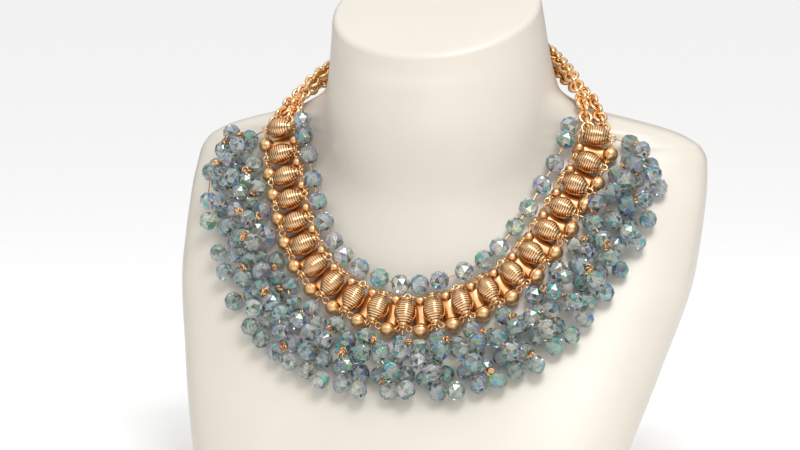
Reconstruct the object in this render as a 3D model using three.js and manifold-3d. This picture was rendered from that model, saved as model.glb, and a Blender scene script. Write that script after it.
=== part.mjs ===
// A bib necklace on its display bust.  Millimetres, +Z up, the chest faces -Y, the bust stands on z = 0.
//
// The bust is one smooth skin, worked out as a reach from its own upright line at each height and plan
// angle.  Everything on the necklace is placed from that skin: a U-shaped band of ribbed beads lies on the
// chest, a row of crystals edges it inside, a fringe of crystal clusters hangs outside it, and two strands
// of round links run from each end up and round behind the neck to a clasp.

import * as THREE from 'three';
import Module from 'manifold-3d';
import { mergeVertices } from 'three/addons/utils/BufferGeometryUtils.js';

const wasm = await Module();
wasm.setup();

// ---------------------------------------------------------------- driving dimensions

// Bust.  Chest plate by height: half width, how far back its upright line is, and depth in front of it.
const CHEST = [
  // height, half width, set back, front depth, depth of the foot behind
  [0, 92, -64, 25, 132],
  [25, 101, -48, 28, 116],
  [60, 112, -24, 31, 92],
  [104, 123, 6, 33, 62],
  [135, 124.5, 24, 29, 40],
  [150, 123.5, 32, 26, 26],
  [157, 120, 34, 25, 20],
  [161, 114, 34, 24, 18],
  [164, 107, 33, 23, 18],
  [167, 97, 32, 22, 18],
  [170, 85, 30, 21, 18],
  [173, 73, 28, 20, 18],
  [177, 62, 25, 18, 18],
  [184, 45, 21, 16, 16],
  [223, 20, 10, 12, 12],
];
// Neck and the throat that runs down inside the chest: radius, and how far back its middle is.
const NECK = [
  // height, radius, set back
  [0, 20, -40],
  [60, 40, 10],
  [90, 52, 32],
  [130, 57, 32],
  [173, 54, 20],
  [197, 51.5, 16],
  [223, 48.5, 10],
];
const CHEST_BACK = 18;
const CHEST_FRONT_POWER = 2.2;
const CHEST_BACK_POWER = 4;
const FOOT_WIDTH_SHARE = 0.62;
const FOOT_POWER = 3;
const FOOT_BLEND = 14;
const NECK_BLEND = 22;
const NECK_TOP = 222.5;
const NECK_TILT_START = 178;
const NECK_TILT = THREE.MathUtils.degToRad(25);
const RIM_RADIUS = 5;
const BUST_SIDES = 36;

// Band of ribbed beads: half of its U seen from the front.
const BAND = [
  // half width, height
  [0, 83],
  [22, 87],
  [44, 99],
  [58, 117],
  [68, 138],
  [73, 149],
  [75, 161],
];
const BAND_LIFT = 7;
const RIBBED_COUNT = 21;
const RIBBED_LENGTH = 12.6;
const RIBBED_RADIUS = 5;
const RIBBED_NECK_RADIUS = 1.6;
const EDGE_OFFSET = 7.6;
const EDGE_WIRE = 0.8;

// Smooth pins between the ribbed beads: a flat bar under them with a ball at each end.
const PIN_LIFT = 1.6;
const PIN_WIDTH = 5.8;
const PIN_THICKNESS = 1.6;
const BALL_LIFT = 4.6;
const OUTER_BALL_RADIUS = 3.6;
const OUTER_BALL_OUT = 8.2;
const INNER_BALL_RADIUS = 2.5;
const INNER_BALL_OUT = -6.4;

// Crystals.
const CRYSTAL_RADIUS = 4.3;
const CRYSTAL_GAP = 0.4;
const INNER_CRYSTAL_OUT = -13.6;
const INNER_CRYSTAL_LIFT = 6.8;
const INNER_LOOSENESS = 0.6;
const THREAD_RADIUS = 0.6;

// One cluster of the fringe, in the frame of its ribbed bead.
const CLUSTER = [
  // along the band, out from it, off the skin
  [0, 14.4, 5.8],
  [-4.4, 21.6, 5.2],
  [4, 22.6, 9.8],
  [4.4, 29.4, 5.4],
  [-4, 28.4, 10.6],
  [-1.6, 35.2, 5.6],
  [7.2, 18.4, 5.4],
  [-7.4, 23.4, 9.6],
];
// The lowest clusters fan out and are fuller.
const LOW_CLUSTER_MORE = [
  [-8.6, 28, 5.4],
  [5, 36.2, 6.6],
];
const LOW_CLUSTERS_EACH_SIDE = 4;
// At the sides, what hangs beyond the first crystal of a cluster drops and reaches less far out.
const SIDE_DROOP = 0.62;
const SIDE_SHORTER = 0.3;
// The two end clusters have no first crystal, and hang a little way back along the band.
const END_SHIFT = 5.5;
const KNOT_RADIUS = 1.8;
const CLUSTER_WIRE = 0.6;
const CLUSTER_LOOSENESS = 1.3;
// Where each kind of looseness starts in the row of irregular numbers.
const SEEDS_PER_CLUSTER = 10;
const INNER_AWAY_SEED = 50;
const AWAY_SEED = 200;
const LIFT_SEED = 400;
// The highest that anything may be seated on the front of a shoulder, which falls away to the side.
const SEAT_TOP = 176;
const SEAT_FALL = 0.16;
const SETTLE_ROUNDS = 150;

// Neck chains.
const STRAND = [
  // across, back, height of the middle line between the two strands of one side
  [75, 12, 167.5],
  [71, 18, 176.5],
  [66.5, 25, 182.5],
  [60, 31, 187.5],
  [52.5, 40, 192.5],
  [43, 53, 197.5],
  [26.5, 69.5, 201.5],
  [7, 76.5, 203.5],
];
const STRAND_APART = 7.4;
const LINK_RADIUS = 2.5;
const LINK_WIRE = 0.7;
const LINK_PITCH = 4.1;

// Clasp behind the neck.
const CLASP_HALF_LENGTH = 3.5;
const CLASP_WIDTH = 13;
const CLASP_THICKNESS = 3;

// ---------------------------------------------------------------- materials

const lacquer = new THREE.MeshStandardMaterial({ color: '#efe9dc', roughness: 0.3, metalness: 0 });
const satinGold = new THREE.MeshStandardMaterial({ color: '#d9a066', roughness: 0.35, metalness: 1 });
const brightGold = new THREE.MeshStandardMaterial({ color: '#d8a15f', roughness: 0.18, metalness: 1 });
const glass = new THREE.MeshStandardMaterial({ color: '#8f9ea3', roughness: 0.08, metalness: 0.1 });

// ---------------------------------------------------------------- solids

const object = new THREE.Group();
const UP = new THREE.Vector3(0, 1, 0);

function addPiece(name, geometry, material) {
  const mesh = new THREE.Mesh(geometry, material);
  mesh.name = name;
  object.add(mesh);
  return mesh;
}

// A closed three.js geometry as a solid that can be joined to others.
function toSolid(geometry) {
  const bare = geometry.clone();
  bare.deleteAttribute('normal');
  bare.deleteAttribute('uv');
  const merged = mergeVertices(bare, 1e-4);
  return new wasm.Manifold(new wasm.Mesh({
    numProp: 3,
    vertProperties: merged.getAttribute('position').array,
    triVerts: new Uint32Array(merged.index.array),
  }));
}

// Solids joined into one.  Only its outer skin is kept, so a pocket shut in between them is filled.
function joined(geometries) {
  const whole = geometries.map(toSolid).reduce((sum, next) => sum.add(next));
  const [outer] = whole.decompose().sort((one, other) => other.volume() - one.volume());
  const mesh = outer.getMesh();
  const geometry = new THREE.BufferGeometry();
  geometry.setAttribute('position', new THREE.BufferAttribute(mesh.vertProperties, 3));
  geometry.setIndex(new THREE.BufferAttribute(mesh.triVerts, 1));
  geometry.computeVertexNormals();
  return geometry;
}

// Rings of points, one above the other, closed by a fan at each end.
function closedLoft(rings) {
  const sides = rings[0].length;
  const middle = (ring) => ring
    .reduce((sum, point) => sum.add(point), new THREE.Vector3())
    .divideScalar(sides);
  const points = [...rings.flat(), middle(rings[0]), middle(rings.at(-1))];
  const bottom = rings.length * sides;
  const top = bottom + 1;
  const lastRing = bottom - sides;
  const index = [];
  for (let side = 0; side < sides; side += 1) {
    const next = (side + 1) % sides;
    index.push(bottom, next, side);
    index.push(top, lastRing + side, lastRing + next);
    for (let start = 0; start < lastRing; start += sides) {
      index.push(start + side, start + next, start + sides + next);
      index.push(start + side, start + sides + next, start + sides + side);
    }
  }
  const geometry = new THREE.BufferGeometry().setFromPoints(points);
  geometry.setIndex(index);
  geometry.computeVertexNormals();
  return geometry;
}

function turnedTo(geometry, place, axis) {
  geometry.applyQuaternion(new THREE.Quaternion().setFromUnitVectors(UP, axis.clone().normalize()));
  return geometry.translate(place.x, place.y, place.z);
}

function rod(from, to, radius, sides) {
  const span = to.clone().sub(from);
  const middle = from.clone().lerp(to, 0.5);
  return turnedTo(new THREE.CylinderGeometry(radius, radius, span.length(), sides), middle, span);
}

function ball(place, radius) {
  const sides = 6;
  const bands = 3;
  return new THREE.SphereGeometry(radius, sides, bands).translate(place.x, place.y, place.z);
}

// A tube of square section, its corners at the radius, along a smooth line through the points.
function tube(points, radius, steps) {
  const section = new THREE.Shape([[1, 0], [0, 1], [-1, 0], [0, -1]]
    .map(([x, y]) => new THREE.Vector2(radius * x, radius * y)));
  return new THREE.ExtrudeGeometry(section, { extrudePath: new THREE.CatmullRomCurve3(points), steps });
}

// ---------------------------------------------------------------- bust skin

// A smooth curve through one column of a table, with no overshoot between its rows.
function smoothColumn(table, column) {
  const at = table.map((row) => row[0]);
  const value = table.map((row) => row[column]);
  const last = at.length - 1;
  const slope = at.slice(1).map((next, i) => (value[i + 1] - value[i]) / (next - at[i]));
  const tangent = at.map((_, i) => {
    if (i === 0) return slope[0];
    if (i === last) return slope[last - 1];
    const product = slope[i - 1] * slope[i];
    return product > 0 ? (2 * product) / (slope[i - 1] + slope[i]) : 0;
  });
  return (where) => {
    const x = THREE.MathUtils.clamp(where, at[0], at[last]);
    const i = Math.min(at.findLastIndex((start) => start <= x), last - 1);
    const step = at[i + 1] - at[i];
    const t = (x - at[i]) / step;
    return value[i] * (1 + 2 * t) * (1 - t) ** 2
      + step * tangent[i] * t * (1 - t) ** 2
      + value[i + 1] * t * t * (3 - 2 * t)
      + step * tangent[i + 1] * t * t * (t - 1);
  };
}

const chestWidth = smoothColumn(CHEST, 1);
const chestBack = smoothColumn(CHEST, 2);
const chestFront = smoothColumn(CHEST, 3);
const footDepth = smoothColumn(CHEST, 4);
const neckRadius = smoothColumn(NECK, 1);
const neckBack = smoothColumn(NECK, 2);

function ovalReach(cos, sin, width, depth, power) {
  return (Math.abs(cos / width) ** power + Math.abs(sin / depth) ** power) ** (-1 / power);
}

function smoothMax(a, b, blend) {
  const share = THREE.MathUtils.clamp(0.5 + (a - b) / (2 * blend), 0, 1);
  return b + (a - b) * share + blend * share * (1 - share);
}

// How far the bust reaches from its upright line at a height, towards a plan angle.
function reach(height, angle) {
  const cos = Math.cos(angle);
  const sin = Math.sin(angle);
  const back = chestBack(height);
  const width = chestWidth(height);
  const front = chestFront(height);
  const ahead = sin < 0;
  const chest = ovalReach(cos, sin, width, ahead ? front : CHEST_BACK,
    ahead ? CHEST_FRONT_POWER : CHEST_BACK_POWER);
  const foot = ovalReach(cos, sin, width * FOOT_WIDTH_SHARE, ahead ? front / 2 : footDepth(height),
    ahead ? FOOT_POWER : CHEST_BACK_POWER);
  const offset = neckBack(height) - back;
  const neck = offset * sin + Math.sqrt(Math.max(neckRadius(height) ** 2 - (offset * cos) ** 2, 0));
  return smoothMax(smoothMax(chest, foot, FOOT_BLEND), neck, NECK_BLEND);
}

// A point of the skin.  Towards the top the sections tilt, so the neck is cut off sloping to the front.
function skin(height, angle, inset = 0) {
  const length = reach(height, angle) - inset;
  const forward = length * Math.sin(angle);
  const tilt = NECK_TILT * THREE.MathUtils.smoothstep(height, NECK_TILT_START, NECK_TOP);
  return new THREE.Vector3(
    length * Math.cos(angle),
    chestBack(height) + forward * Math.cos(tilt),
    height + forward * Math.sin(tilt),
  );
}

function skinNormal(height, angle) {
  const step = 0.05;
  const turn = 0.001;
  const along = skin(height, angle + turn).sub(skin(height, angle - turn));
  const up = skin(height + step, angle).sub(skin(height - step, angle));
  return along.cross(up).normalize();
}

// Where the front of the skin is at a place across and up: a point and the way out of the bust.
function chestSeat(across, height) {
  const halvings = 40;
  let low = -Math.PI / 2;
  let high = 0;
  for (let round = 0; round < halvings; round += 1) {
    const angle = (low + high) / 2;
    if (reach(height, angle) * Math.cos(angle) < Math.abs(across)) low = angle;
    else high = angle;
  }
  const angle = across < 0 ? -Math.PI - low : low;
  return { point: skin(height, angle), out: skinNormal(height, angle) };
}

// ---------------------------------------------------------------- bust

const FULL_TURN = 2 * Math.PI;
const skinHeights = [
  0, 22, 44, 66, 84, 100, 116, 132, 144, 152, 157, 161, 164, 167, 170, 173, 177, 183, 192, 205,
];
const rimSteps = [0, 30, 60, 90].map(THREE.MathUtils.degToRad);

function skinRing(height, inset) {
  return Array.from({ length: BUST_SIDES }, (_, side) => (
    skin(height, (FULL_TURN * side) / BUST_SIDES, inset)));
}

addPiece('neck_bust', closedLoft([
  ...skinHeights.map((height) => skinRing(height, 0)),
  ...rimSteps.map((turn) => (
    skinRing(NECK_TOP - RIM_RADIUS * (1 - Math.sin(turn)), RIM_RADIUS * (1 - Math.cos(turn))))),
]), lacquer);

// ---------------------------------------------------------------- frames along the band

// The band's middle line on the skin, from the left end down and up to the right end.
const bandFront = new THREE.CatmullRomCurve3([
  ...BAND.slice(1).reverse().map(([across, height]) => new THREE.Vector3(-across, 0, height)),
  ...BAND.map(([across, height]) => new THREE.Vector3(across, 0, height)),
]);
const bandPoints = 60;
const bandLine = new THREE.CatmullRomCurve3(bandFront.getSpacedPoints(bandPoints).map(({ x, z }) => {
  const seat = chestSeat(x, z);
  return seat.point.addScaledVector(seat.out, BAND_LIFT);
}));

// Share 0 to 1 along the band: a place, the way along, the way out of the bust, the way off the neck.
function bandFrame(share) {
  const place = bandLine.getPointAt(share);
  const along = bandLine.getTangentAt(share);
  const { out } = chestSeat(place.x, place.z);
  const away = along.clone().cross(out).normalize();
  return { place, along, away, out: away.clone().cross(along) };
}

function shoulderSeat(across, height) {
  return chestSeat(across, Math.min(height, SEAT_TOP - SEAT_FALL * Math.abs(across)));
}

// A place on the chest, so far along and off the band's middle line, dropped, and so far off the skin.
function chestPlace(frame, along, away, lift, drop = 0) {
  const flat = frame.place.clone()
    .addScaledVector(frame.along, along)
    .addScaledVector(frame.away, away)
    .addScaledVector(frame.out, -BAND_LIFT);
  const seat = shoulderSeat(flat.x, flat.z - drop);
  return seat.point.addScaledVector(seat.out, lift);
}

// A steady, irregular number between -1 and 1: what is left of a fast wave that is made very tall.
function scatter(seed) {
  const waveSpeed = 12.9898;
  const waveHeight = 43758.5453;
  const wave = Math.sin(seed * waveSpeed) * waveHeight;
  return 2 * (wave - Math.floor(wave)) - 1;
}

const beadFrames = Array.from({ length: RIBBED_COUNT }, (_, i) => bandFrame(i / (RIBBED_COUNT - 1)));
const gapFrames = Array.from({ length: RIBBED_COUNT - 1 }, (_, i) => (
  bandFrame((i + 0.5) / (RIBBED_COUNT - 1))));
const halfPitch = bandLine.getLength() / (RIBBED_COUNT - 1) / 2;

function offBand(frame, away, out) {
  return frame.place.clone().addScaledVector(frame.away, away).addScaledVector(frame.out, out);
}

function numbered(name, i) {
  return `${name}_${String(i + 1).padStart(2, '0')}`;
}

// ---------------------------------------------------------------- ribbed beads

const halfBead = RIBBED_LENGTH / 2;
const beadProfile = [-1, -0.5, 0, 0.5, 1].map((share) => new THREE.Vector2(
  THREE.MathUtils.lerp(RIBBED_RADIUS, RIBBED_NECK_RADIUS, share * share),
  share * halfBead,
));
const ribbedSides = 8;

beadFrames.forEach((frame, i) => {
  const bead = new THREE.LatheGeometry([
    new THREE.Vector2(0, -halfBead),
    ...beadProfile,
    new THREE.Vector2(0, halfBead),
  ], ribbedSides);
  addPiece(numbered('ribbed_bead', i), turnedTo(bead, frame.place, frame.away), satinGold);
});

// ---------------------------------------------------------------- edge chains and smooth pins

const edgeSteps = 32;
const edgeChains = [-EDGE_OFFSET, EDGE_OFFSET].map((away) => (
  tube(beadFrames.map((frame) => offBand(frame, away, 0)), EDGE_WIRE, edgeSteps)));
const pins = gapFrames.flatMap((frame) => {
  const { along, away, out } = frame;
  const middle = offBand(frame, (INNER_BALL_OUT + OUTER_BALL_OUT) / 2, PIN_LIFT - BAND_LIFT);
  const bar = new THREE.BoxGeometry(PIN_WIDTH, PIN_THICKNESS, OUTER_BALL_OUT - INNER_BALL_OUT)
    .applyMatrix4(new THREE.Matrix4().makeBasis(along, out.clone().negate(), away).setPosition(middle));
  return [
    bar,
    ball(offBand(frame, INNER_BALL_OUT, BALL_LIFT - BAND_LIFT), INNER_BALL_RADIUS),
    ball(offBand(frame, OUTER_BALL_OUT, BALL_LIFT - BAND_LIFT), OUTER_BALL_RADIUS),
  ];
});

addPiece('smooth_pins_and_edge_chains', joined([...edgeChains, ...pins]), brightGold);

// ---------------------------------------------------------------- inner row of crystals

const icosahedronFace = new THREE.Vector3(1, 1, 1).normalize();

// A faceted bead, with one flat face square to its thread.
function crystal(place, axis) {
  const bead = new THREE.IcosahedronGeometry(CRYSTAL_RADIUS, 0)
    .applyQuaternion(new THREE.Quaternion().setFromUnitVectors(icosahedronFace, UP));
  return turnedTo(bead, place, axis);
}

// Beside the band's inner chain, and pushed off its metal where the chest's curve leans the two together.
function innerPlace(frame, along, seed) {
  const place = chestPlace(
    frame,
    along + INNER_LOOSENESS * scatter(seed),
    INNER_CRYSTAL_OUT + INNER_LOOSENESS * scatter(seed + INNER_AWAY_SEED),
    INNER_CRYSTAL_LIFT,
  );
  const metal = [
    [offBand(frame, -EDGE_OFFSET, 0).addScaledVector(frame.along, along), EDGE_WIRE],
    [offBand(frame, INNER_BALL_OUT, BALL_LIFT - BAND_LIFT), INNER_BALL_RADIUS],
  ];
  metal.forEach(([middle, radius]) => {
    const away = place.clone().sub(middle);
    const short = CRYSTAL_RADIUS + radius + 2 * CRYSTAL_GAP - away.length();
    if (short > 0) place.add(away.setLength(short));
  });
  return place;
}

const innerPlaces = [
  innerPlace(beadFrames[0], -halfPitch, 0),
  ...gapFrames.map((frame, i) => innerPlace(frame, 0, i + 1)),
  innerPlace(beadFrames.at(-1), halfPitch, gapFrames.length + 1),
];
const threadSteps = 22;

function crystalRow(places) {
  const line = new THREE.CatmullRomCurve3(places);
  return joined([
    tube(places, THREAD_RADIUS, threadSteps),
    ...places.map((place, i) => crystal(place, line.getTangent(i / (places.length - 1)))),
  ]);
}

const innerMiddle = innerPlaces.length / 2;
addPiece('inner_crystals_left', crystalRow(innerPlaces.slice(0, innerMiddle)), glass);
addPiece('inner_crystals_right', crystalRow(innerPlaces.slice(innerMiddle)), glass);

// ---------------------------------------------------------------- fringe of crystal clusters

// Every crystal of the fringe where its cluster asks for it, then pushed apart until none overlap and
// all lie clear of the skin.  The first of each cluster hangs straight under its bead and stays put.
function clusterCrystals(frame, cluster) {
  const low = Math.abs(cluster - (RIBBED_COUNT - 1) / 2) <= LOW_CLUSTERS_EACH_SIDE;
  const back = Number(cluster === 0) - Number(cluster === RIBBED_COUNT - 1);
  const rows = low ? [...CLUSTER, ...LOW_CLUSTER_MORE] : CLUSTER.slice(Math.abs(back));
  const sideways = Math.abs(frame.away.x);
  return rows.map(([along, away, lift], i) => {
    const fixed = i === 0 && back === 0;
    const seed = SEEDS_PER_CLUSTER * cluster + i + 1;
    const loose = fixed ? 0 : CLUSTER_LOOSENESS;
    const beyond = sideways * (away - CLUSTER[0][1]);
    return {
      cluster,
      fixed,
      place: chestPlace(
        frame,
        along + END_SHIFT * back + loose * scatter(seed),
        away - SIDE_SHORTER * beyond + loose * scatter(seed + AWAY_SEED),
        lift + loose * scatter(seed + LIFT_SEED) / 2,
        SIDE_DROOP * beyond,
      ),
    };
  });
}

const fringe = beadFrames.flatMap(clusterCrystals);
const apart = 2 * CRYSTAL_RADIUS + CRYSTAL_GAP;
const clear = CRYSTAL_RADIUS + CRYSTAL_GAP;
const outerBalls = gapFrames.map((frame) => offBand(frame, OUTER_BALL_OUT, BALL_LIFT - BAND_LIFT));

function pushApart(one, other) {
  const way = other.place.clone().sub(one.place);
  const short = apart - way.length();
  if (short <= 0) return;
  way.setLength(short / 2);
  if (!one.fixed) one.place.sub(way);
  if (!other.fixed) other.place.add(way);
}

function keepOff(one, middle, distance) {
  const way = one.place.clone().sub(middle);
  const short = distance - way.length();
  if (short > 0) one.place.add(way.setLength(short));
}

function liftClear(one) {
  const seat = shoulderSeat(one.place.x, one.place.z);
  const height = one.place.clone().sub(seat.point).dot(seat.out);
  if (height < clear) one.place.addScaledVector(seat.out, clear - height);
}

for (let round = 0; round < SETTLE_ROUNDS; round += 1) {
  fringe.forEach((one, i) => fringe.slice(i + 1).forEach((other) => pushApart(one, other)));
  fringe.forEach((one) => outerBalls.forEach((middle) => keepOff(one, middle, clear + OUTER_BALL_RADIUS)));
  fringe.forEach(liftClear);
}

// Each crystal of a cluster is wired to the nearest one that is already held, the one at the hook first.
function wiredPairs(places) {
  const held = places.slice(0, 1);
  const loose = places.slice(1);
  const pairs = [];
  while (loose.length > 0) {
    const [shortest] = held
      .flatMap((from) => loose.map((to) => ({ from, to, length: from.distanceTo(to) })))
      .sort((one, other) => one.length - other.length);
    pairs.push(shortest);
    held.push(shortest.to);
    loose.splice(loose.indexOf(shortest.to), 1);
  }
  return pairs;
}

const wireSides = 3;

function wire(from, to) {
  return rod(from, to, CLUSTER_WIRE, wireSides);
}

beadFrames.forEach((frame, cluster) => {
  const hook = offBand(frame, EDGE_OFFSET + EDGE_WIRE + CRYSTAL_GAP, 0);
  const places = fringe
    .filter((one) => one.cluster === cluster)
    .map((one) => one.place)
    .sort((one, other) => one.distanceTo(hook) - other.distanceTo(hook));
  const pairs = wiredPairs(places);
  const knot = pairs[0].from.clone().add(pairs[0].to).divideScalar(2);
  addPiece(numbered('crystal_cluster', cluster), joined([
    crystal(places[0], frame.away),
    wire(hook, places[0]),
    new THREE.OctahedronGeometry(KNOT_RADIUS).translate(knot.x, knot.y, knot.z),
    ...pairs.flatMap(({ from, to }) => [crystal(to, to.clone().sub(from)), wire(from, to)]),
  ]), glass);
});

// ---------------------------------------------------------------- neck chains and clasp

const linkSections = 3;
const linkSides = 4;

function outOfSkin(place) {
  return skinNormal(place.z, Math.atan2(place.y - chestBack(place.z), place.x));
}

// The line of one strand, beside the middle line of its side of the neck.
function strandLine(side, beside) {
  const middle = new THREE.CatmullRomCurve3(STRAND.map(([across, back, height]) => (
    new THREE.Vector3(side * across, back, height))));
  return new THREE.CatmullRomCurve3(STRAND.map((_, i) => {
    const share = i / (STRAND.length - 1);
    const place = middle.getPointAt(share);
    const across = middle.getTangentAt(share).cross(outOfSkin(place)).normalize();
    return place.addScaledVector(across, beside * STRAND_APART / 2);
  }));
}

// Its links, each turned a quarter from the last and gripping the next.
function strand(side, beside) {
  const line = strandLine(side, beside);
  const count = Math.ceil(line.getLength() / LINK_PITCH);
  return joined(Array.from({ length: count }, (_, i) => {
    const share = (i + 0.5) / count;
    const place = line.getPointAt(share);
    const along = line.getTangentAt(share);
    const across = along.clone().cross(outOfSkin(place)).normalize();
    const out = across.clone().cross(along);
    const turn = new THREE.Matrix4().makeBasis(along, ...(i % 2 ? [across, out.negate()] : [out, across]));
    return new THREE.TorusGeometry(LINK_RADIUS, LINK_WIRE, linkSections, linkSides)
      .rotateZ(Math.PI / linkSides)
      .applyMatrix4(turn.setPosition(place));
  }));
}

addPiece('neck_chain_left_inner', strand(-1, 1), brightGold);
addPiece('neck_chain_left_outer', strand(-1, -1), brightGold);
addPiece('neck_chain_right_inner', strand(1, -1), brightGold);
addPiece('neck_chain_right_outer', strand(1, 1), brightGold);

const [, claspBack, claspHeight] = STRAND.at(-1);
addPiece('clasp', new THREE.BoxGeometry(2 * CLASP_HALF_LENGTH, CLASP_THICKNESS, CLASP_WIDTH)
  .translate(0, claspBack, claspHeight), brightGold);

export default object;
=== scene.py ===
"""A bib necklace of gold-plated ribbed beads and coated glass crystals, shown on its lacquered neck bust.

Metres, +Z up, the chest faces -Y.  The sections follow the object as it is put together: the bust, the
band of ribbed beads, the smooth pieces and fine chains between them, the crystals, the wires that hold
them, the two chains at each side of the neck, and the clasp.
"""

import bpy
import numpy as np
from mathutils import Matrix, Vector


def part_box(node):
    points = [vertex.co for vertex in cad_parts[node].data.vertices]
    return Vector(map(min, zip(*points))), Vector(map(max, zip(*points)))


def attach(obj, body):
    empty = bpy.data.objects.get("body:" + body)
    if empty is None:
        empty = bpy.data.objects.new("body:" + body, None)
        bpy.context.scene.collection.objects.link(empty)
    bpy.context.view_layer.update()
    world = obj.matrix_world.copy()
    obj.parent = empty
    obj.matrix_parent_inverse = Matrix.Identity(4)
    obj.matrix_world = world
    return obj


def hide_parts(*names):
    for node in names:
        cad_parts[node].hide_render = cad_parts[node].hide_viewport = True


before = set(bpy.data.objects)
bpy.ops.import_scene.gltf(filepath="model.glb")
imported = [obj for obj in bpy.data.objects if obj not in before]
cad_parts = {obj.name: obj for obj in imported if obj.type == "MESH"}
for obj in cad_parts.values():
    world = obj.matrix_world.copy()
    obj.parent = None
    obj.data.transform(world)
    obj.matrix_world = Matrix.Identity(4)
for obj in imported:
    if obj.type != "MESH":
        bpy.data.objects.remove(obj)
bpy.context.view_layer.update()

# ------------------------------------------------------------------------------------------------ bust
# The shop's neck bust: a hollow moulding of resin with a cream lacquer of low sheen, one skin with no
# parting line.  It stands on its own flat foot, and its neck is cut off sloping to the front with a
# rounded rim.

MM = 0.001
CHEST_ROWS = np.array([
    # height, half width, set back, front depth, depth of the foot behind
    [0, 92, -64, 25, 132],
    [25, 101, -48, 28, 116],
    [60, 112, -24, 31, 92],
    [104, 123, 6, 33, 62],
    [135, 124.5, 24, 29, 40],
    [150, 123.5, 32, 26, 26],
    [157, 120, 34, 25, 20],
    [161, 114, 34, 24, 18],
    [164, 107, 33, 23, 18],
    [167, 97, 32, 22, 18],
    [170, 85, 30, 21, 18],
    [173, 73, 28, 20, 18],
    [177, 62, 25, 18, 18],
    [184, 45, 21, 16, 16],
    [223, 20, 10, 12, 12],
]) * MM
NECK_ROWS = np.array([
    # height, radius, set back
    [0, 20, -40],
    [60, 40, 10],
    [90, 52, 32],
    [130, 57, 32],
    [173, 54, 20],
    [197, 51.5, 16],
    [223, 48.5, 10],
]) * MM
CHEST_BACK = 18 * MM
FOOT_SHARE = 0.62
CHEST_FRONT_POWER = 2.2
FOOT_FRONT_POWER = 3
BACK_POWER = 4
FOOT_BLEND = 14 * MM
NECK_BLEND = 22 * MM
NECK_TOP = 222.5 * MM
TILT_START = 178 * MM
TILT = np.radians(25)
RIM = 2.6 * MM


def smooth_column(rows, column):
    """A curve through one column by height: cubic pieces whose slope at a row is the harmonic mean of
    the slopes at its two sides, or level where those disagree, so it never overshoots."""
    at, value = rows[:, 0], rows[:, column]
    slope = np.diff(value) / np.diff(at)
    product = slope[:-1] * slope[1:]
    total = np.where(product > 0, slope[:-1] + slope[1:], 1)
    tangent = np.concatenate([slope[:1], np.where(product > 0, 2 * product / total, 0), slope[-1:]])

    def curve(where):
        x = np.clip(where, at[0], at[-1])
        i = np.clip(np.searchsorted(at, x, side="right") - 1, 0, len(at) - 2)
        step = at[i + 1] - at[i]
        t = (x - at[i]) / step
        return (value[i] * (1 + 2 * t) * (1 - t) ** 2 + step * tangent[i] * t * (1 - t) ** 2
                + value[i + 1] * t * t * (3 - 2 * t) + step * tangent[i + 1] * t * t * (t - 1))

    return curve


chest_width, chest_back, chest_front, foot_depth = (smooth_column(CHEST_ROWS, i) for i in range(1, 5))
neck_radius, neck_back = (smooth_column(NECK_ROWS, i) for i in range(1, 3))


def oval(cos, sin, width, depth, power):
    """Reach of a rounded oval: the power mean of across over width and along over depth is one."""
    return (np.abs(cos / width) ** power + np.abs(sin / depth) ** power) ** (-1 / power)


def smooth_max(a, b, blend):
    """The larger of two lengths, rounded over where they differ by less than the blend."""
    share = np.clip(0.5 + (a - b) / (2 * blend), 0, 1)
    return b + (a - b) * share + blend * share * (1 - share)


def reach(height, angle):
    """How far the skin is from the bust's upright line: the larger of a chest oval, a foot oval and the
    neck's circle, each blended into the next."""
    cos, sin = np.cos(angle), np.sin(angle)
    ahead = sin < 0
    back, width, front = chest_back(height), chest_width(height), chest_front(height)
    chest = np.where(ahead, oval(cos, sin, width, front, CHEST_FRONT_POWER),
                     oval(cos, sin, width, CHEST_BACK, BACK_POWER))
    foot = np.where(ahead, oval(cos, sin, width * FOOT_SHARE, front / 2, FOOT_FRONT_POWER),
                    oval(cos, sin, width * FOOT_SHARE, foot_depth(height), BACK_POWER))
    offset = neck_back(height) - back
    neck = offset * sin + np.sqrt(np.maximum(neck_radius(height) ** 2 - (offset * cos) ** 2, 0))
    return smooth_max(smooth_max(chest, foot, FOOT_BLEND), neck, NECK_BLEND)


def skin(height, angle, inset=0):
    """Points of the bust: the reach at a height and plan angle, its sections tilting towards the top."""
    length = reach(height, angle) - inset
    forward = length * np.sin(angle)
    share = np.clip((height - TILT_START) / (NECK_TOP - TILT_START), 0, 1)
    tilt = TILT * share * share * (3 - 2 * share)
    return np.stack([length * np.cos(angle), chest_back(height) + forward * np.cos(tilt),
                     height + forward * np.sin(tilt)], -1)


def unit(vectors):
    return vectors / np.linalg.norm(vectors, axis=-1, keepdims=True)


def skin_out(height, angle):
    """The way out of the bust: the cross product of the skin's two directions."""
    turn, step = 0.001, 0.05 * MM
    around = skin(height, angle + turn) - skin(height, angle - turn)
    return unit(np.cross(around, skin(height + step, angle) - skin(height - step, angle)))


def wrapped_faces(rows, columns, first=0):
    """Quads of a grid of points whose columns close on themselves."""
    row, column = np.meshgrid(np.arange(rows - 1), np.arange(columns), indexing="ij")
    here, beside = row * columns + column, row * columns + (column + 1) % columns
    return first + np.stack([here, beside, beside + columns, here + columns], -1).reshape(-1, 4)


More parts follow.
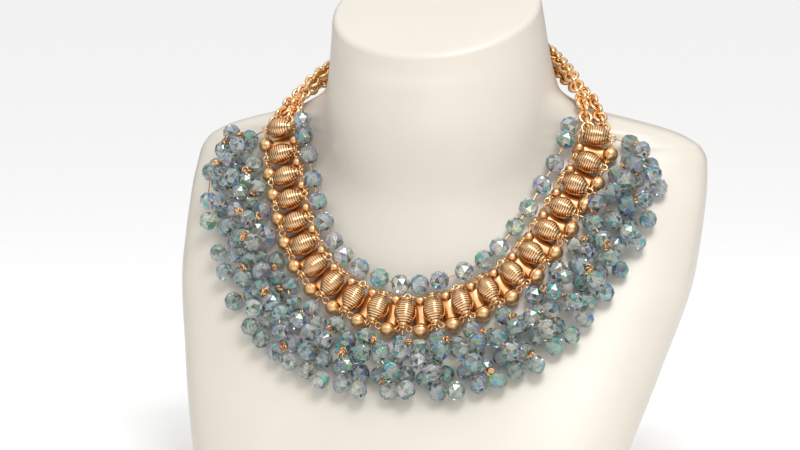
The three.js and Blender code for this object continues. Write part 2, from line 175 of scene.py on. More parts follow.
def make_piece(name, points, faces, materials, stands_for, smooth=True, which=None, tint=None):
    """One mesh that rides on the bust's body and stands for nodes of the frame."""
    mesh = bpy.data.meshes.new(name)
    mesh.from_pydata(np.asarray(points, float).tolist(), [], [list(map(int, face)) for face in faces])
    mesh.polygons.foreach_set("use_smooth", np.full(len(mesh.polygons), smooth))
    for material in materials:
        mesh.materials.append(material)
    if which is not None:
        mesh.polygons.foreach_set("material_index", np.asarray(which, np.int32))
    if tint is not None:
        domain = "POINT" if len(tint) == len(mesh.vertices) else "CORNER"
        layer = mesh.color_attributes.new("tint", "FLOAT_COLOR", domain)
        layer.data.foreach_set("color", np.asarray(tint, np.float32).ravel())
    mesh.validate()
    mesh.update()
    piece = bpy.data.objects.new(name, mesh)
    bpy.context.scene.collection.objects.link(piece)
    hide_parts(*stands_for)
    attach(piece, "root")
    return piece


def linear(hex_colour):
    """An sRGB hex colour as linear light: the standard curve on each of its three channels."""
    value = np.array([int(hex_colour[i:i + 2], 16) for i in (1, 3, 5)]) / 255
    light = np.where(value <= 0.04045, value / 12.92, ((value + 0.055) / 1.055) ** 2.4)
    return (*light, 1)


def new_material(name):
    material = bpy.data.materials.new(name)
    material.use_nodes = True
    return material, material.node_tree.nodes["Principled BSDF"]


def add_node(tree, kind, settings=(), values=(), links=()):
    """Adds a node, sets its properties and its inputs' values, and links outputs to its inputs."""
    made = tree.nodes.new(kind)
    for key, value in dict(settings).items():
        setattr(made, key, value)
    for key, value in dict(values).items():
        made.inputs[key].default_value = value
    for key, output in dict(links).items():
        tree.links.new(output, made.inputs[key])
    return made


# Lacquer over resin: a soft pearl cream with a broad, low sheen, as a sprayed coat that ripples every few
# millimetres gives it, and a tone that drifts over a few centimetres.
lacquer, shader = new_material("pearl_cream_gloss_lacquer")
tree = lacquer.node_tree
where = add_node(tree, "ShaderNodeTexCoord")
cloud = add_node(tree, "ShaderNodeTexNoise", values={"Scale": 28, "Detail": 3, "Roughness": 0.5},
                 links={"Vector": where.outputs["Object"]})
tone = add_node(tree, "ShaderNodeMix", {"data_type": "RGBA"}, {6: linear("#cbc4b8"), 7: linear("#d5cec2")},
                {"Factor": cloud.outputs["Fac"]})
tree.links.new(tone.outputs[2], shader.inputs["Base Color"])
peel = add_node(tree, "ShaderNodeTexNoise", values={"Scale": 260, "Detail": 2},
                links={"Vector": where.outputs["Object"]})
bump = add_node(tree, "ShaderNodeBump", values={"Strength": 0.05, "Distance": 0.0004},
                links={"Height": peel.outputs["Fac"]})
tree.links.new(bump.outputs["Normal"], shader.inputs["Normal"])
shader.inputs["Roughness"].default_value = 0.42
shader.inputs["IOR"].default_value = 1.5
shader.inputs["Coat Weight"].default_value = 0.5
shader.inputs["Coat Roughness"].default_value = 0.34

BUST_SIDES = 180
plan = np.linspace(0, 2 * np.pi, BUST_SIDES, endpoint=False)
# The skin's rings lie closest together over the shoulders, where it turns the most.
SHOULDERS_FROM, SHOULDERS_TO = 150 * MM, 186 * MM
heights = np.concatenate([
    np.linspace(0, SHOULDERS_FROM, 60, endpoint=False),
    np.linspace(SHOULDERS_FROM, SHOULDERS_TO, 48, endpoint=False),
    np.linspace(SHOULDERS_TO, NECK_TOP - RIM, 30),
])
rim_turn = np.radians(np.linspace(0, 90, 9))[1:]
levels = np.concatenate([heights, NECK_TOP - RIM * (1 - np.sin(rim_turn))])
insets = np.concatenate([np.zeros(len(heights)), RIM * (1 - np.cos(rim_turn))])
bust_points = skin(levels[:, None], plan[None, :], insets[:, None])
top_middle = bust_points[-1].mean(0)
# The slanting top closes in rings towards its middle.
shrink = np.linspace(1, 0.08, 10)[1:, None, None]
top_rings = top_middle + (bust_points[-1][None] - top_middle) * shrink
bust_points = np.concatenate([bust_points, top_rings])
bust_rows = len(bust_points)
bust_faces = [*wrapped_faces(bust_rows, BUST_SIDES), np.arange(BUST_SIDES)[::-1],
              (bust_rows - 1) * BUST_SIDES + np.arange(BUST_SIDES)]
make_piece("neck_bust", bust_points.reshape(-1, 3), bust_faces, [lacquer], ["neck_bust"])

# -------------------------------------------------------------------------------- band of ribbed beads
# Twenty-one spindle beads of brass, spun with fine rings round them and plated in rose-yellow gold.
# Each lies square to the band, strung through its two ends on fine chains.

BEADS = 21
BEAD_HALF = 6.8 * MM
BEAD_RADIUS = 5.05 * MM
BEAD_END_RADIUS = 1.7 * MM
BEAD_BORE = 0.9 * MM
BEAD_SIDES = 28
COLLAR_SHARE = 0.9
RIBS = 12
RIB_DEPTH = 0.15 * MM
RIBBED_SHARE = 0.96
# How dark the painted shade at the bottom of a groove is.
GROOVE_PAINTED_SHADE = 0.24


def node_points(name):
    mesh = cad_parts[name].data
    flat = np.zeros(len(mesh.vertices) * 3)
    mesh.vertices.foreach_get("co", flat)
    return flat.reshape(-1, 3)


def bead_name(kind, i):
    return f"{kind}_{i + 1:02d}"


def bead_axis(points):
    """The long axis of a bead: the direction in which its points spread the most."""
    centred = points - points.mean(0)
    return np.linalg.eigh(centred.T @ centred)[1][:, -1]


def along_and_out(places, away):
    """The way along the band and the way out of it at each place, square to the way off the neck."""
    out = unit(np.cross(away, np.gradient(places, axis=0)))
    return unit(np.cross(out, away)), out


bead_boxes = [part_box(bead_name("ribbed_bead", i)) for i in range(BEADS)]
bead_places = np.array([(np.array(lo) + np.array(hi)) / 2 for lo, hi in bead_boxes])
bead_away = np.array([bead_axis(node_points(bead_name("ribbed_bead", i))) for i in range(BEADS)])
neck_middle = np.array([0, bead_places[:, 1].mean(), bead_places[0, 2]])
bead_away *= np.sign(np.einsum("ij,ij->i", bead_away, bead_places - neck_middle))[:, None]
bead_along, bead_out = along_and_out(bead_places, bead_away)


def turned(axis_shares, radii, sides, place, axis, side_way, flat=1):
    """A turned body: a circle of each radius, at each distance along the axis from the place, pressed
    flat by a share along the side way."""
    turn = np.linspace(0, 2 * np.pi, sides, endpoint=False)
    third = np.cross(axis, side_way)
    circle = flat * np.cos(turn)[:, None] * side_way + np.sin(turn)[:, None] * third
    points = place + axis_shares[:, None, None] * axis + radii[:, None, None] * circle[None]
    return points.reshape(-1, 3)


def closed_faces(rows, columns, first=0):
    """A wrapped grid's quads, and one face over each end."""
    ends = [first + np.arange(columns)[::-1], first + (rows - 1) * columns + np.arange(columns)]
    return [*wrapped_faces(rows, columns, first), *ends]


# Rose-yellow gold plate over brass: its tone and polish change over two or three millimetres, and the
# fine marks of tumbling are less than half a millimetre apart and a twentieth of a millimetre deep.
def gold_plate(name, colour, deep, roughness, scratch, painted_groove_shade=False):
    material, shader = new_material(name)
    tree = material.node_tree
    where = add_node(tree, "ShaderNodeTexCoord")
    patches = add_node(tree, "ShaderNodeTexNoise", values={"Scale": 420, "Detail": 3},
                       links={"Vector": where.outputs["Object"]})
    tone = add_node(tree, "ShaderNodeMix", {"data_type": "RGBA"}, {6: linear(deep), 7: linear(colour)},
                    {"Factor": patches.outputs["Fac"]})
    # Grooved beads multiply their colour by the painted shade in their grooves, read from the tint attribute.
    if painted_groove_shade:
        groove_shade = add_node(tree, "ShaderNodeAttribute", {"attribute_name": "tint"})
        tone = add_node(tree, "ShaderNodeMix", {"data_type": "RGBA", "blend_type": "MULTIPLY"}, {"Factor": 1},
                        {6: tone.outputs[2], 7: groove_shade.outputs["Color"]})
    tree.links.new(tone.outputs[2], shader.inputs["Base Color"])
    rub = add_node(tree, "ShaderNodeMapRange", values={"To Min": roughness * 0.75, "To Max": roughness * 1.3},
                   links={"Value": patches.outputs["Fac"]})
    tree.links.new(rub.outputs["Result"], shader.inputs["Roughness"])
    fine = add_node(tree, "ShaderNodeTexNoise", values={"Scale": 2600, "Detail": 2},
                    links={"Vector": where.outputs["Object"]})
    bump = add_node(tree, "ShaderNodeBump", values={"Strength": scratch, "Distance": 0.00005},
                    links={"Height": fine.outputs["Fac"]})
    tree.links.new(bump.outputs["Normal"], shader.inputs["Normal"])
    shader.inputs["Metallic"].default_value = 1
    return material


ribbed_gold = gold_plate("rose_gold_plate_spun_in_rings", "#f8d2a0", "#eec28e", 0.15, 0.02, painted_groove_shade=True)

# A bead's outline is a parabola less the grooves between half-round ribs.
along_bead = np.linspace(-1, 1, RIBS * 8 + 1)
spindle = BEAD_RADIUS + (BEAD_END_RADIUS - BEAD_RADIUS) * along_bead ** 2
crest = np.abs(np.sin(np.pi * RIBS * (along_bead + 1) / 2))
ribbed = spindle + RIB_DEPTH * (crest - 1)
# A plain collar and a closed end follow the last rib at each side.
collar = BEAD_END_RADIUS * COLLAR_SHARE
bead_shares = np.concatenate([[-1.0, -1.0], along_bead * RIBBED_SHARE, [1.0, 1.0]]) * BEAD_HALF
bead_radii = np.concatenate([[BEAD_BORE, collar], ribbed, [collar, BEAD_BORE]])
# Painted shade: the grooves are painted darker and redder than the crests, as the shade that falls in them;
# the crests are bright.
groove_painted_shade = np.concatenate([[1, 1], GROOVE_PAINTED_SHADE + (1 - GROOVE_PAINTED_SHADE) * crest ** 1.2, [1, 1]])
groove_painted_shade = groove_painted_shade[:, None] * [1, 1, 1]
groove_painted_shade[:, 1:] *= 0.6 + 0.4 * groove_painted_shade[:, :1]
groove_painted_shade = np.concatenate([groove_painted_shade, np.ones((len(groove_painted_shade), 1))], 1)
groove_painted_shade = np.repeat(groove_painted_shade, BEAD_SIDES, axis=0)
bead_faces = closed_faces(len(bead_radii), BEAD_SIDES)
for i in range(BEADS):
    points = turned(bead_shares, bead_radii, BEAD_SIDES, bead_places[i], bead_away[i], bead_out[i])
    make_piece(bead_name("ribbed_bead", i), points, bead_faces, [ribbed_gold],
               [bead_name("ribbed_bead", i)], tint=groove_painted_shade)

# --------------------------------------------------------- smooth pieces and fine chains between beads
# Between the ribbed beads lie plain pieces of the same gold, a little lower: a waisted bar with a ball at
# each end, the outer one in a thin ring.  Fine chains run along both edges and carry every end.

PIN_SINK = -4.8 * MM
BALL_SINK = -2.4 * MM
BAR_HALF_WIDTH = 4.2 * MM
BAR_FLATNESS = 0.5
BALL_OUT = 8.2 * MM
BALL_RADIUS = 3.65 * MM
INNER_BALL_OUT = -6.4 * MM
INNER_BALL_RADIUS = 2.5 * MM
RING_INWARD = 1.1 * MM
RING_RADIUS = 3.75 * MM
RING_WIRE = 0.32 * MM
EDGE = 7.6 * MM
COLLAR_OUT = 6.3 * MM
COLLAR_RADIUS = 1.9 * MM
COLLAR_WIRE = 0.42 * MM
LINK_PITCH = 2.8 * MM
LINK_RADIUS = 1.45 * MM
LINK_WIRE = 0.46 * MM
CHAIN_DIP = 4 * MM
LENGTH_STEPS = 1200


def spline(places, share):
    """A smooth line through the places at even parameters: cubic pieces with neighbour-difference slopes."""
    count = len(places)
    tangent = np.gradient(places, axis=0)
    x = np.clip(share, 0, 1) * (count - 1)
    i = np.clip(x.astype(int), 0, count - 2)
    t = (x - i)[:, None]
    return (places[i] * (1 + 2 * t) * (1 - t) ** 2 + tangent[i] * t * (1 - t) ** 2
            + places[i + 1] * t * t * (3 - 2 * t) + tangent[i + 1] * t * t * (t - 1))


def even_shares(places, count, ends=True):
    """Shares that cut the line through the places into equal lengths."""
    fine = np.linspace(0, 1, LENGTH_STEPS)
    length = np.concatenate([[0], np.linalg.norm(np.diff(spline(places, fine), axis=0), axis=1).cumsum()])
    cuts = np.linspace(0, 1, count) if ends else (np.arange(count) + 0.5) / count
    return np.interp(cuts * length[-1], length, fine)


def line_length(places):
    fine = np.linspace(0, 1, LENGTH_STEPS // 2)
    return np.linalg.norm(np.diff(spline(places, fine), axis=0), axis=1).sum()


def gather(parts):
    """Several sets of points and faces as one, with each face's part number."""
    points, faces, which, start = [], [], [], 0
    for number, (part_points, part_faces) in enumerate(parts):
        points.append(part_points)
        faces.extend([face + start for face in part_faces])
        which.extend([number] * len(part_faces))
        start += len(part_points)
    return np.concatenate(points), faces, np.array(which)


def rings(places, axis_a, axis_b, radius, wire, sections=16, sides=6):
    """Round links: a small circle of the wire's radius carried round a circle in the plane of two axes."""
    around = np.linspace(0, 2 * np.pi, sections, endpoint=False)[:, None, None]
    across = np.linspace(0, 2 * np.pi, sides, endpoint=False)[None, :, None]
    parts = []
    for place, a, b, r in zip(places, axis_a, axis_b, np.broadcast_to(radius, len(places))):
        ray = np.cos(around) * a + np.sin(around) * b
        points = place + ray * (r + wire * np.cos(across)) + np.cross(a, b) * wire * np.sin(across)
        row, column = np.meshgrid(np.arange(sections), np.arange(sides), indexing="ij")
        here, beside = row * sides + column, row * sides + (column + 1) % sides
        next_here, next_beside = (here + sides) % (sections * sides), (beside + sides) % (sections * sides)
        faces = np.stack([here, next_here, next_beside, beside], -1).reshape(-1, 4)
        parts.append((points.reshape(-1, 3), list(faces)))
    return parts


def tube(line, wire, sides=6):
    """A wire: a small circle carried along the line, square to it, and closed at both ends."""
    way = unit(np.gradient(line, axis=0))
    helper = np.where(np.abs(way[:, 2:]) > 0.9, [[1.0, 0, 0]], [[0, 0, 1.0]])
    a = unit(np.cross(way, helper))
    b = np.cross(way, a)
    turn = np.linspace(0, 2 * np.pi, sides, endpoint=False)[None, :, None]
    points = line[:, None] + wire * (np.cos(turn) * a[:, None] + np.sin(turn) * b[:, None])
    return points.reshape(-1, 3), closed_faces(len(line), sides)


def sphere(place, radius, sides=20, bands=12):
    """A ball: circles of the sine of the turn, at heights of its cosine."""
    turn = np.linspace(0.02, np.pi - 0.02, bands)
    return (turned(-radius * np.cos(turn), radius * np.sin(turn), sides, place, np.array([0, 0, 1.0]),
                   np.array([1.0, 0, 0])), closed_faces(bands, sides))


# Satin plate spreads a lamp into a soft glow on bars and balls; polished plate keeps it a bright point.
satin_gold = gold_plate("rose_gold_plate_satin", "#f0c490", "#e4b27e", 0.31, 0.05)
bright_gold = gold_plate("rose_gold_plate_polished", "#f4cc98", "#e6b682", 0.1, 0.04)

gap_share = (np.arange(BEADS - 1) + 0.5) / (BEADS - 1)
gap_places = spline(bead_places, gap_share)
gap_out = unit(spline(bead_out, gap_share))
gap_along = unit(spline(bead_places, gap_share + 0.004) - spline(bead_places, gap_share - 0.004))
gap_away = unit(np.cross(gap_along, gap_out))
gap_out = np.cross(gap_away, gap_along)

# A bar is waisted in the middle and drawn in where it meets its balls.
BAR_ROWS, BAR_SIDES = 22, 16
WAIST = 0.18
bar_shares = np.linspace(INNER_BALL_OUT, BALL_OUT, BAR_ROWS)
t = np.abs(np.linspace(-1, 1, BAR_ROWS))
bar_radii = BAR_HALF_WIDTH * (1 - WAIST + WAIST * t ** 2) * (1 - 0.5 * t ** 12)
bar_faces = closed_faces(BAR_ROWS, BAR_SIDES)
pin_parts = []
for place, away, out in zip(gap_places, gap_away, gap_out):
    bar = turned(bar_shares, bar_radii, BAR_SIDES, place + out * PIN_SINK, away, out, BAR_FLATNESS)
    pin_parts.append((bar, bar_faces))
    low = place + out * BALL_SINK
    pin_parts.append(sphere(low + away * BALL_OUT, BALL_RADIUS))
    pin_parts.append(sphere(low + away * INNER_BALL_OUT, INNER_BALL_RADIUS, 16, 10))
points, faces, _ = gather(pin_parts)
make_piece("smooth_pins", points, faces, [satin_gold], ["smooth_pins_and_edge_chains"])
ring_middles = gap_places + gap_out * BALL_SINK + gap_away * (BALL_OUT - RING_INWARD)
points, faces, _ = gather(rings(ring_middles, gap_along, gap_out, RING_RADIUS, RING_WIRE, 20, 6))
make_piece("ball_rings", points, faces, [bright_gold], ["smooth_pins_and_edge_chains"])

for side, name in ((-1, "edge_chain_inner"), (1, "edge_chain_outer")):
    # The chain dips under the balls between one bead's end and the next.
    line = np.empty((2 * BEADS - 1, 3))
    line[::2] = bead_places + side * EDGE * bead_away
    line[1::2] = gap_places + side * EDGE * gap_away - CHAIN_DIP * gap_out
    count = int(line_length(line) / LINK_PITCH)
    shares = even_shares(line, count)
    places = spline(line, shares)
    along = unit(spline(line, shares + 0.002) - spline(line, shares - 0.002))
    out = unit(spline(bead_out, shares))
    across = unit(np.cross(out, along))
    out = np.cross(along, across)
    flat = (np.arange(count) % 2 == 0)[:, None]
    links = rings(places, along, np.where(flat, across, out), LINK_RADIUS, LINK_WIRE, 10, 5)
    collar_places = bead_places + side * COLLAR_OUT * bead_away
    collars = rings(collar_places, bead_along, bead_out, COLLAR_RADIUS, COLLAR_WIRE, 14, 6)
    points, faces, _ = gather(links + collars)
    make_piece(name, points, faces, [bright_gold], ["smooth_pins_and_edge_chains"])

# ------------------------------------------------------------------------------------------- crystals
# Cut glass beads of 8 to 9 mm with a rainbow coat over smoke-green glass, each drilled through.
# Twenty-two edge the band at the neck; the rest hang in clusters below it, in two loose layers.

CRYSTAL_CAD_RADIUS = 4.3 * MM
# The middle's distance from a facet, and a facet's edge, of an icosahedron in a sphere of radius one.
FACET_DEPTH = 0.794654
FACET_EDGE = 1.051462
FACETS_TO_AGREE = 4
EDGE_SLACK = 0.02 * MM
MIDDLE_SLACK = 0.5 * MM
CRYSTAL_SIDES = 8
CRYSTAL_ROWS = np.array([
    # height, radius, turned by half a facet
    [-0.93, 0.17, 0],
    [-0.9, 0.36, 0],
    [-0.56, 0.83, 1],
    [0, 1.0, 0],
    [0.56, 0.83, 1],
    [0.9, 0.36, 0],
    [0.93, 0.17, 0],
])
INNER_RADIUS = 4.6 * MM
FRINGE_RADII = (4.15, 4.6)


def crystal_places(name):
    """Where the crystals of a node are: every whole facet points back to its bead's middle, so the
    middles on which several facets agree are the beads."""
    points = node_points(name)
    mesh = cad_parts[name].data
    corner = np.zeros(len(mesh.loops), int)
    mesh.loops.foreach_get("vertex_index", corner)
    corners = points[corner.reshape(-1, 3)]
    edges = np.linalg.norm(corners - np.roll(corners, 1, axis=1), axis=2)
    whole = np.abs(edges - FACET_EDGE * CRYSTAL_CAD_RADIUS).max(1) < EDGE_SLACK
    corners = corners[whole]
    inward = -unit(np.cross(corners[:, 1] - corners[:, 0], corners[:, 2] - corners[:, 0]))
    middles = corners.mean(1) + inward * FACET_DEPTH * CRYSTAL_CAD_RADIUS
    found = []
    while len(middles):
        near = np.linalg.norm(middles - middles[0], axis=1) < MIDDLE_SLACK
        if near.sum() >= FACETS_TO_AGREE:
            found.append(middles[near].mean(0))
        middles = middles[~near]
    return np.array(found)


def crystal_shape(rng, place, axis, radius):
    """A cut bead: rings of points about the drilled hole, the waist's turned half a facet from those beside
    it and joined to them by triangles, and the whole turned at random about its hole."""
    sides = CRYSTAL_SIDES
    heights, radii, turned_half = CRYSTAL_ROWS.T
    turn0 = rng.uniform(0, 2 * np.pi)
    side_way = unit(np.cross(axis, rng.normal(size=3)))
    third = np.cross(axis, side_way)
    half = turned_half[:, None] * np.pi / sides
    turn = turn0 + half + np.linspace(0, 2 * np.pi, sides, endpoint=False)[None]
    ray = np.cos(turn)[..., None] * side_way + np.sin(turn)[..., None] * third
    points = place + (radius * heights)[:, None, None] * axis + (radius * radii)[:, None, None] * ray
    faces = []
    column = np.arange(sides)
    beside = (column + 1) % sides
    last = len(CRYSTAL_ROWS) - 1
    for row in range(last):
        low, high = row * sides, (row + 1) * sides
        if row in (0, last - 1):
            faces.extend(np.stack([low + column, low + beside, high + beside, high + column], -1))
        elif half[row, 0] < half[row + 1, 0]:
            faces.extend(np.stack([low + column, low + beside, high + column], -1))
            faces.extend(np.stack([low + beside, high + beside, high + column], -1))
        else:
            faces.extend(np.stack([low + column, high + beside, high + column], -1))
            faces.extend(np.stack([low + column, low + beside, high + beside], -1))
    faces.append(column[::-1])
    faces.append(last * sides + column)
    return points.reshape(-1, 3), faces


# Lead glass with a vacuum-laid rainbow coat: the body is smoke grey-green and clear.  Single facets carry a
# painted flash:
# white ones are painted highlights, teal, blue, violet or green ones painted reflections of the coat; others
# are painted dark, a painted dark reflection from inside the bead.
GLASS = ["#eceeea", "#d6dcd8", "#e2e0e8", "#c6cfcc", "#efece4", "#d2d6dc", "#bcc5c2", "#dcd6e2"]
PAINTED_FLASH = ["#ffffff", "#48e6da", "#4a9cff", "#9a80f4", "#86e694", "#ffffff", "#ffffff", "#20c4cc"]
PAINTED_DARK_REFLECTION = "#39443f"
COAT_NANOMETRES = 215
COAT_IOR = 1.85
PAINTED_FLASH_CHANCE = 0.2
PAINTED_DARK_CHANCE = 0.3
glass, shader = new_material("rainbow_coated_cut_glass")
tree = glass.node_tree
tint = add_node(tree, "ShaderNodeAttribute", {"attribute_name": "tint"})
tree.links.new(tint.outputs["Color"], shader.inputs["Base Color"])
shader.inputs["Roughness"].default_value = 0.03
shader.inputs["IOR"].default_value = 1.6
shader.inputs["Transmission Weight"].default_value = 0.8
shader.inputs["Specular IOR Level"].default_value = 0.9
shader.inputs["Thin Film Thickness"].default_value = COAT_NANOMETRES
shader.inputs["Thin Film IOR"].default_value = COAT_IOR
# The mouth of a drill hole is seen as a dark brown point.
hole_dark, shader = new_material("shadow_in_drill_hole")
tree = hole_dark.node_tree
where = add_node(tree, "ShaderNodeTexCoord")
grain = add_node(tree, "ShaderNodeTexNoise", values={"Scale": 900}, links={"Vector": where.outputs["Object"]})
tone = add_node(tree, "ShaderNodeMix", {"data_type": "RGBA"}, {6: linear("#2b241c"), 7: linear("#4a3a26")},
                {"Factor": grain.outputs["Fac"]})
tree.links.new(tone.outputs[2], shader.inputs["Base Color"])
shader.inputs["Roughness"].default_value = 0.5
GLASS_LIGHT = np.array([linear(c) for c in GLASS])
PAINTED_FLASH_LIGHT = np.array([linear(c) for c in PAINTED_FLASH])


def crystals_piece(name, places, axes, radii, seed, stands_for):
    """Crystals joined as one piece, each facet with its own tint, some with a painted highlight or a painted
    dark reflection.
    """
    rng = np.random.default_rng(seed)
    parts = [crystal_shape(rng, place, axis, radius) for place, axis, radius in zip(places, axes, radii)]
    points, faces, bead = gather(parts)
    body = GLASS_LIGHT[rng.integers(len(GLASS), size=len(parts))][bead]
    # Painted flashes: about a fifth of the facets take a painted highlight or a painted coloured reflection
    # of the coat.
    painted_flash = PAINTED_FLASH_LIGHT[rng.integers(len(PAINTED_FLASH), size=len(faces))]
    share = np.where(rng.random(len(faces)) < PAINTED_FLASH_CHANCE, 1.0, 0.06 * rng.random(len(faces)))[:, None]
    colour = body * (1 - share) + painted_flash * share
    # Painted dark reflections: some facets are darkened towards a deep grey-green.
    painted_dark = (rng.random(len(faces)) < PAINTED_DARK_CHANCE)[:, None] * rng.uniform(0.4, 0.95, (len(faces), 1))
    colour = colour * (1 - painted_dark) + np.array(linear(PAINTED_DARK_REFLECTION)) * painted_dark
    colour[:, 3] = 1
    sizes = np.array([len(face) for face in faces])
    per_bead = len(faces) // len(parts)
    is_hole = (np.arange(len(faces)) % per_bead) >= per_bead - 2
    make_piece(name, points, faces, [glass, hole_dark], stands_for, smooth=False,
               which=is_hole, tint=np.repeat(colour, sizes, axis=0))


# The inner row is followed from its left end down to the middle and up to its right end.
INNER_SEEDS = {"left": 11, "right": 12}
inner = {}
for side, upward in (("left", -1), ("right", 1)):
    name = f"inner_crystals_{side}"
    places = crystal_places(name)
    places = places[np.argsort(upward * places[:, 2])]
    inner[side] = places
    axes = unit(np.gradient(places, axis=0))
    crystals_piece(name, places, axes, np.full(len(places), INNER_RADIUS), INNER_SEEDS[side], [name])

TURN_SEED, CUT_SEED = 100, 200
TURN_LOOSENESS = 4 * MM
cluster_beads = []
for i in range(BEADS):
    name = bead_name("crystal_cluster", i)
    places = crystal_places(name)
    hook = bead_places[i] + bead_away[i] * EDGE
    places = places[np.argsort(np.linalg.norm(places - hook, axis=1))]
    cluster_beads.append(places)
    rng = np.random.default_rng(TURN_SEED + i)
    axes = unit(places - places.mean(0) + TURN_LOOSENESS * rng.normal(size=places.shape))
    axes[0] = bead_away[i]
    radii = rng.uniform(*FRINGE_RADII, len(places)) * MM
    crystals_piece(name, places, axes, radii, CUT_SEED + i, [name])

# ---------------------------------------------------------------------------- wires among the crystals
# Soft copper-gold wire joins each cluster to its ribbed bead, twisted into two knots of open loops.

# Drawn craft wire, a little darker than the plate, gives small warm glints among the crystals.
copper_gold = gold_plate("copper_gold_craft_wire", "#e6bc90", "#cf9f6c", 0.18, 0.05)
WIRE = 0.34 * MM
WIRE_SEED = 400
HOOK_GAP = 0.6 * MM
BOW_OUT = 3
KNOT_OUT = 2.4 * MM
KNOT_LOOPS = 6
KNOT_SPREAD = 0.6 * MM
LOOP_RADII = (0.9, 1.8)


def nearest_pairs(places):
    """Each crystal and the nearest one that is already held, the first at the hook."""
    held, loose, pairs = [0], list(range(1, len(places))), []
    while loose:
        far = np.linalg.norm(places[held][:, None] - places[loose][None], axis=2)
        a, b = np.unravel_index(far.argmin(), far.shape)
        pairs.append((held[a], loose[b]))
        held.append(loose.pop(b))
    return pairs


for i in range(BEADS):
    places = cluster_beads[i]
    hook = bead_places[i] + bead_away[i] * (EDGE + HOOK_GAP)
    rng = np.random.default_rng(WIRE_SEED + i)
    t = np.linspace(0, 1, 7)[:, None]
    parts = [tube(hook + (places[0] - hook) * t, WIRE)]
    # A wire bows outwards from one crystal to the next.
    pairs = nearest_pairs(places)
    for a, b in pairs:
        bow = (places[a] + places[b]) / 2 + (bead_out[i] * BOW_OUT + rng.normal(size=3)) * MM
        parts.append(tube((1 - t) ** 2 * places[a] + 2 * t * (1 - t) * bow + t * t * places[b], WIRE))
    # Two knots a cluster, each of a few open loops wound about the gap between two crystals.
    for a, b in (pairs[0], pairs[len(pairs) // 2]):
        knot = (places[a] + places[b]) / 2 + bead_out[i] * KNOT_OUT
        loop_a = unit(rng.normal(size=(KNOT_LOOPS, 3)))
        loop_b = unit(np.cross(loop_a, rng.normal(size=(KNOT_LOOPS, 3))))
        spots = knot + rng.normal(size=(KNOT_LOOPS, 3)) * KNOT_SPREAD
        parts += rings(spots, loop_a, loop_b, rng.uniform(*LOOP_RADII, KNOT_LOOPS) * MM, WIRE, 12, 5)
    points, faces, _ = gather(parts)
    make_piece(bead_name("cluster_wire", i), points, faces, [copper_gold],
               [bead_name("crystal_cluster", i)])
for side, places in inner.items():
    points, faces = tube(spline(places, np.linspace(0, 1, 80)), WIRE)
    make_piece(f"inner_thread_{side}", points, faces, [copper_gold],
               [f"inner_crystals_{side}"])

# ---------------------------------------------------------------------------------------- neck chains
# Two strands of round polished links at each side, every link turned a quarter from the last, joined by
# jump rings to the ends of the band and run up over the shoulder and round behind the neck.

STRAND_ROWS = np.array([
    # across, back, height of the middle line between the two strands of one side
    [75, 12, 167.5],
    [71, 18, 176.5],
    [66.5, 25, 182.5],
    [60, 31, 187.5],
    [52.5, 40, 192.5],
    [43, 53, 197.5],
    [26.5, 69.5, 201.5],
    [7, 76.5, 203.5],
]) * MM
STRAND_APART = 7.4 * MM
NECK_LINK_RADIUS = 2.75 * MM
NECK_LINK_WIRE = 0.95 * MM
NECK_LINK_PITCH = 3.7 * MM
CORNER_OUT = 3.4 * MM
JUMP_RING_RADIUS = 2.9 * MM
JUMP_RING_WIRE = 0.75 * MM
JUMP_RING_LIFT = 1.2 * MM


def out_of_neck(place):
    """The way out of the skin beside each place: at its height, at the plan angle that it lies at."""
    return skin_out(place[:, 2], np.arctan2(place[:, 1] - chest_back(place[:, 2]), place[:, 0]))


strands = [("left_inner", -1, 1), ("left_outer", -1, -1), ("right_inner", 1, -1), ("right_outer", 1, 1)]
for name, side, beside in strands:
    middle = STRAND_ROWS * [side, 1, 1]
    shares = even_shares(middle, len(middle))
    places = spline(middle, shares)
    along = unit(spline(middle, shares + 0.002) - spline(middle, shares - 0.002))
    line = places + unit(np.cross(along, out_of_neck(places))) * beside * STRAND_APART / 2
    count = int(np.ceil(line_length(line) / NECK_LINK_PITCH))
    shares = even_shares(line, count, ends=False)
    places = spline(line, shares)
    along = unit(spline(line, shares + 0.002) - spline(line, shares - 0.002))
    across = unit(np.cross(along, out_of_neck(places)))
    out = np.cross(across, along)
    odd = (np.arange(count) % 2 == 1)[:, None]
    links = rings(places, along, np.where(odd, across, out), NECK_LINK_RADIUS, NECK_LINK_WIRE, 18, 8)
    # A jump ring ties the first link to the end bead's corner.
    end = 0 if side < 0 else BEADS - 1
    corner = bead_places[end] + bead_away[end] * side * beside * CORNER_OUT
    ring_place = (places[:1] + corner) / 2 + out[:1] * JUMP_RING_LIFT
    links += rings(ring_place, along[:1], across[:1], JUMP_RING_RADIUS, JUMP_RING_WIRE, 20, 8)
    points, faces, _ = gather(links)
    make_piece(f"neck_chain_{name}", points, faces, [bright_gold], [f"neck_chain_{name}"])

# ---------------------------------------------------------------------------------------------- clasp
# A plain clasp body of the same gold joins the strands behind the neck, with softly squared edges.

SQUARENESS = 0.35
lo, hi = (np.array(corner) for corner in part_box("clasp"))
clasp_middle = (lo + hi) / 2
clasp_half = (hi - lo) / 2
u = np.linspace(0, np.pi, 20)[1:-1]
v = np.linspace(0, 2 * np.pi, 32, endpoint=False)


def rounded(value):
    """A sine or cosine raised to a small power with its sign kept, which makes a circle a soft square."""
    return np.sign(value) * np.abs(value) ** SQUARENESS


across, up = rounded(np.sin(u))[:, None], rounded(-np.cos(u))[:, None]
clasp_points = clasp_middle + clasp_half * np.stack([
    across * rounded(np.cos(v))[None],
    across * rounded(np.sin(v))[None],
    np.broadcast_to(up, (len(u), len(v))),
], -1)
clasp_faces = closed_faces(len(u), len(v))
make_piece("clasp", clasp_points.reshape(-1, 3), clasp_faces, [bright_gold], ["clasp"])

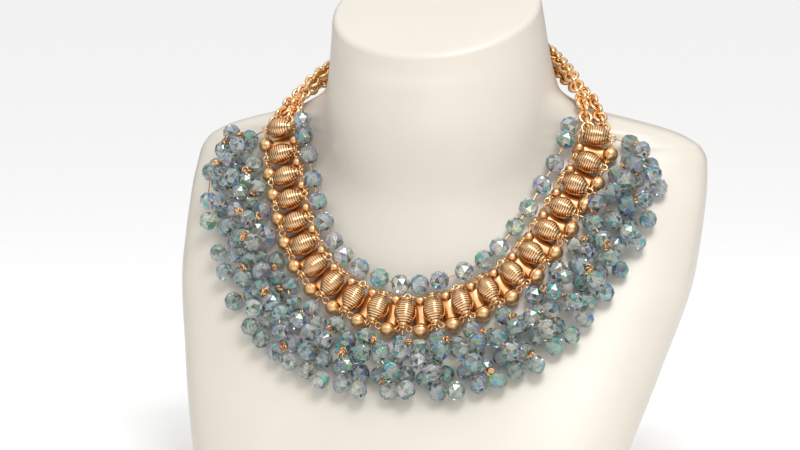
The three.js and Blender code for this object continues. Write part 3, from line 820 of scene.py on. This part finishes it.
# ------------------------------------------------------------------------------ floor, light and camera
# A plain pale floor, a soft lamp high in front at the right, two weak ones at the left and low in front,
# and a pale room that is brightest overhead.

FLOOR = 6.0
floor_corners = [(-FLOOR, -FLOOR, 0), (FLOOR, -FLOOR, 0), (FLOOR, FLOOR, 0), (-FLOOR, FLOOR, 0)]
floor_mesh = bpy.data.meshes.new("floor")
floor_mesh.from_pydata(floor_corners, [], [(0, 1, 2, 3)])
floor = bpy.data.objects.new("floor", floor_mesh)
bpy.context.scene.collection.objects.link(floor)
# Matt white paper, with a cloudiness that the eye barely sees.
paper, shader = new_material("white_paper_floor")
tree = paper.node_tree
where = add_node(tree, "ShaderNodeTexCoord")
fibre = add_node(tree, "ShaderNodeTexNoise", values={"Scale": 60, "Detail": 4},
                 links={"Vector": where.outputs["Object"]})
tone = add_node(tree, "ShaderNodeMix", {"data_type": "RGBA"}, {6: linear("#fbfbfa"), 7: linear("#ffffff")},
                {"Factor": fibre.outputs["Fac"]})
tree.links.new(tone.outputs[2], shader.inputs["Base Color"])
shader.inputs["Roughness"].default_value = 0.9
floor_mesh.materials.append(paper)

world = bpy.data.worlds.new("pale_room")
bpy.context.scene.world = world
world.use_nodes = True
tree = world.node_tree
toward = add_node(tree, "ShaderNodeTexCoord")
height = add_node(tree, "ShaderNodeVectorMath", {"operation": "DOT_PRODUCT"}, {1: (0, -0.2, 0.95)},
                  {0: toward.outputs["Generated"]})
bright = add_node(tree, "ShaderNodeMapRange",
                  values={"From Min": -0.1, "From Max": 0.9, "To Min": 0.1, "To Max": 1.24},
                  links={"Value": height.outputs["Value"]})
tree.links.new(bright.outputs["Result"], tree.nodes["Background"].inputs["Strength"])
tree.nodes["Background"].inputs["Color"].default_value = (1, 1, 1, 1)


def lamp(name, place, size, power):
    """A soft lamp turned towards the middle of the chest."""
    data = bpy.data.lights.new(name, "AREA")
    data.shape = "RECTANGLE"
    data.size, data.size_y = size
    data.energy = power
    made = bpy.data.objects.new(name, data)
    made.location = place
    made.rotation_mode = "QUATERNION"
    made.rotation_quaternion = (Vector(CHEST_MIDDLE) - Vector(place)).to_track_quat("-Z", "Y")
    bpy.context.scene.collection.objects.link(made)


CHEST_MIDDLE = (0, 0, 0.14)
lamp("key_softbox", (0.34, -0.6, 0.95), (0.42, 0.42), 5.8)
lamp("left_softbox", (-0.6, -0.6, 0.7), (0.3, 0.3), 0.1)
lamp("low_softbox", (0.42, -0.95, 0.12), (0.2, 0.14), 0.3)

AZIMUTH, ELEVATION = np.radians(15), np.radians(7)
CAMERA_ROUND = Vector((0, 0.02, 0.173))
DISTANCE = 1.3
SHIFT_LEFT, SHIFT_DOWN = 0.0195, 0.054
camera_data = bpy.data.cameras.new("camera")
camera = bpy.data.objects.new("camera", camera_data)
bpy.context.scene.collection.objects.link(camera)
bpy.context.scene.camera = camera
level = np.cos(ELEVATION)
back = Vector((np.sin(AZIMUTH) * level, -np.cos(AZIMUTH) * level, np.sin(ELEVATION)))
right = Vector((np.cos(AZIMUTH), np.sin(AZIMUTH), 0))
camera.location = CAMERA_ROUND + back * DISTANCE - right * SHIFT_LEFT - back.cross(right) * SHIFT_DOWN
camera.rotation_mode = "QUATERNION"
camera.rotation_quaternion = (-back).to_track_quat("-Z", "Y")
camera_data.sensor_width = 36
camera_data.lens = 124.5
camera_data.clip_start, camera_data.clip_end = 0.05, 30

bpy.context.scene.view_settings.view_transform = "Standard"
